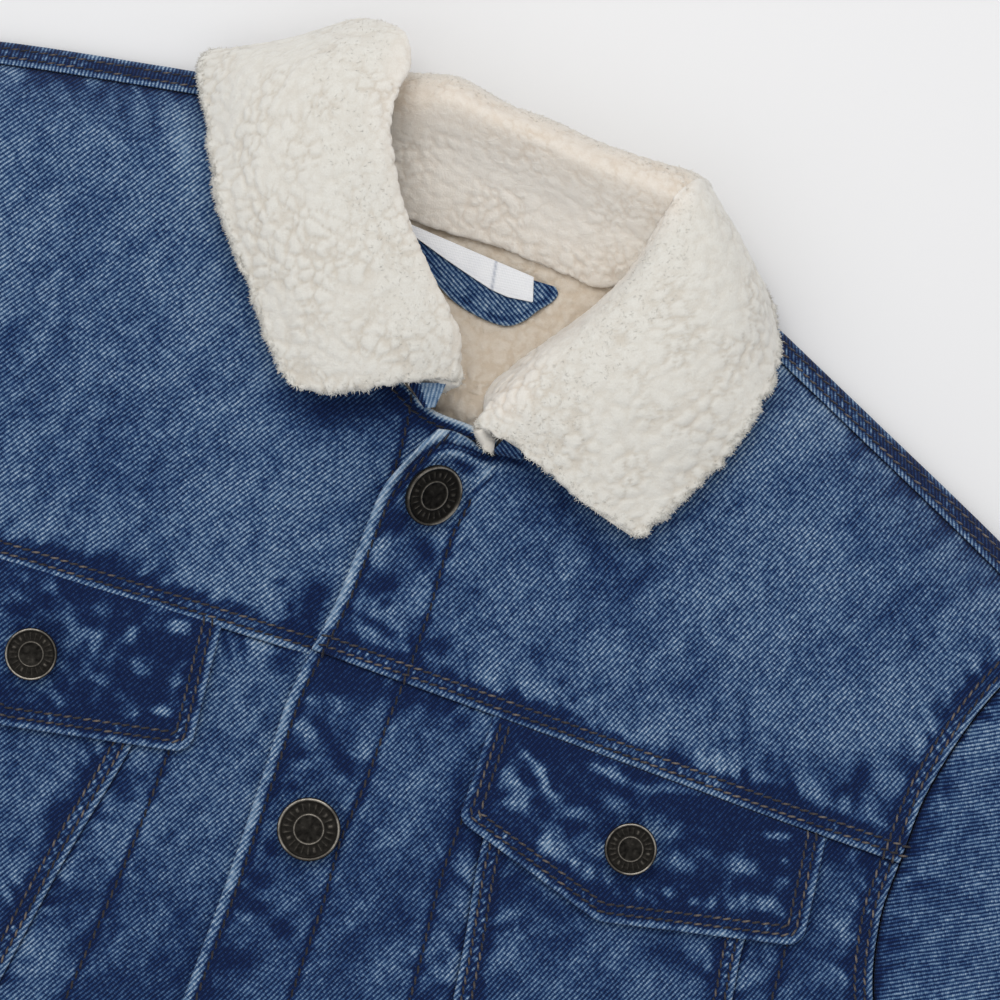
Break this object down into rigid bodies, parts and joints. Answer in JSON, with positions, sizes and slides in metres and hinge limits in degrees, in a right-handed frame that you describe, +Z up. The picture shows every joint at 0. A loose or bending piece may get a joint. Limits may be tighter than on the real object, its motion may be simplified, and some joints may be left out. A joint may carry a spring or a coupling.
{
  "type": "sherpa lined jacket",
  "caption": "Child's denim trucker jacket with a sherpa collar and lining, buttoned and laid flat on its back, sleeves spread.",
  "frame": {"origin": "on the table under the middle of the jacket's outline", "axes": "+X towards the wearer's left, +Y from the hem to the collar, +Z up out of the jacket's front"},
  "size_m": [0.957, 0.5338, 0.046],
  "materials": {
    "denim": "stone-washed indigo twill with brown topstitching",
    "sherpa": "cream curly pile",
    "label": "blank satin weave",
    "button": "antiqued dark, worn bright on its rims"
  },
  "bodies": {
    "root": {"back_centre": "denim", "back_side_left": "denim", "back_side_right": "denim", "back_yoke": "denim", "button_1": "button", "button_2": "button", "button_3": "button", "button_4": "button", "button_5": "button", "collar_back": "sherpa", "collar_left": "sherpa", "collar_right": "sherpa", "cuff_button_left": "button", "cuff_button_right": "button", "cuff_left": "denim", "cuff_right": "denim", "flap_button_left": "button", "flap_button_right": "button", "front_centre_left": "denim", "front_centre_right": "denim", "front_panel_left": "denim", "front_panel_right": "denim", "front_side_left": "denim", "front_side_right": "denim", "front_yoke_left": "denim", "front_yoke_right": "denim", "lining_back": "sherpa", "neck_label": "label", "neck_patch": "denim", "pocket_flap_left": "denim", "pocket_flap_right": "denim", "shoulder_band_left": "denim", "shoulder_band_right": "denim", "sleeve_back_left": "denim", "sleeve_back_right": "denim", "sleeve_front_left": "denim", "sleeve_front_right": "denim", "undercollar_left": "denim", "undercollar_right": "denim", "waistband_back": "denim", "waistband_left": "denim", "waistband_right": "denim"}
  },
  "joints": []
}
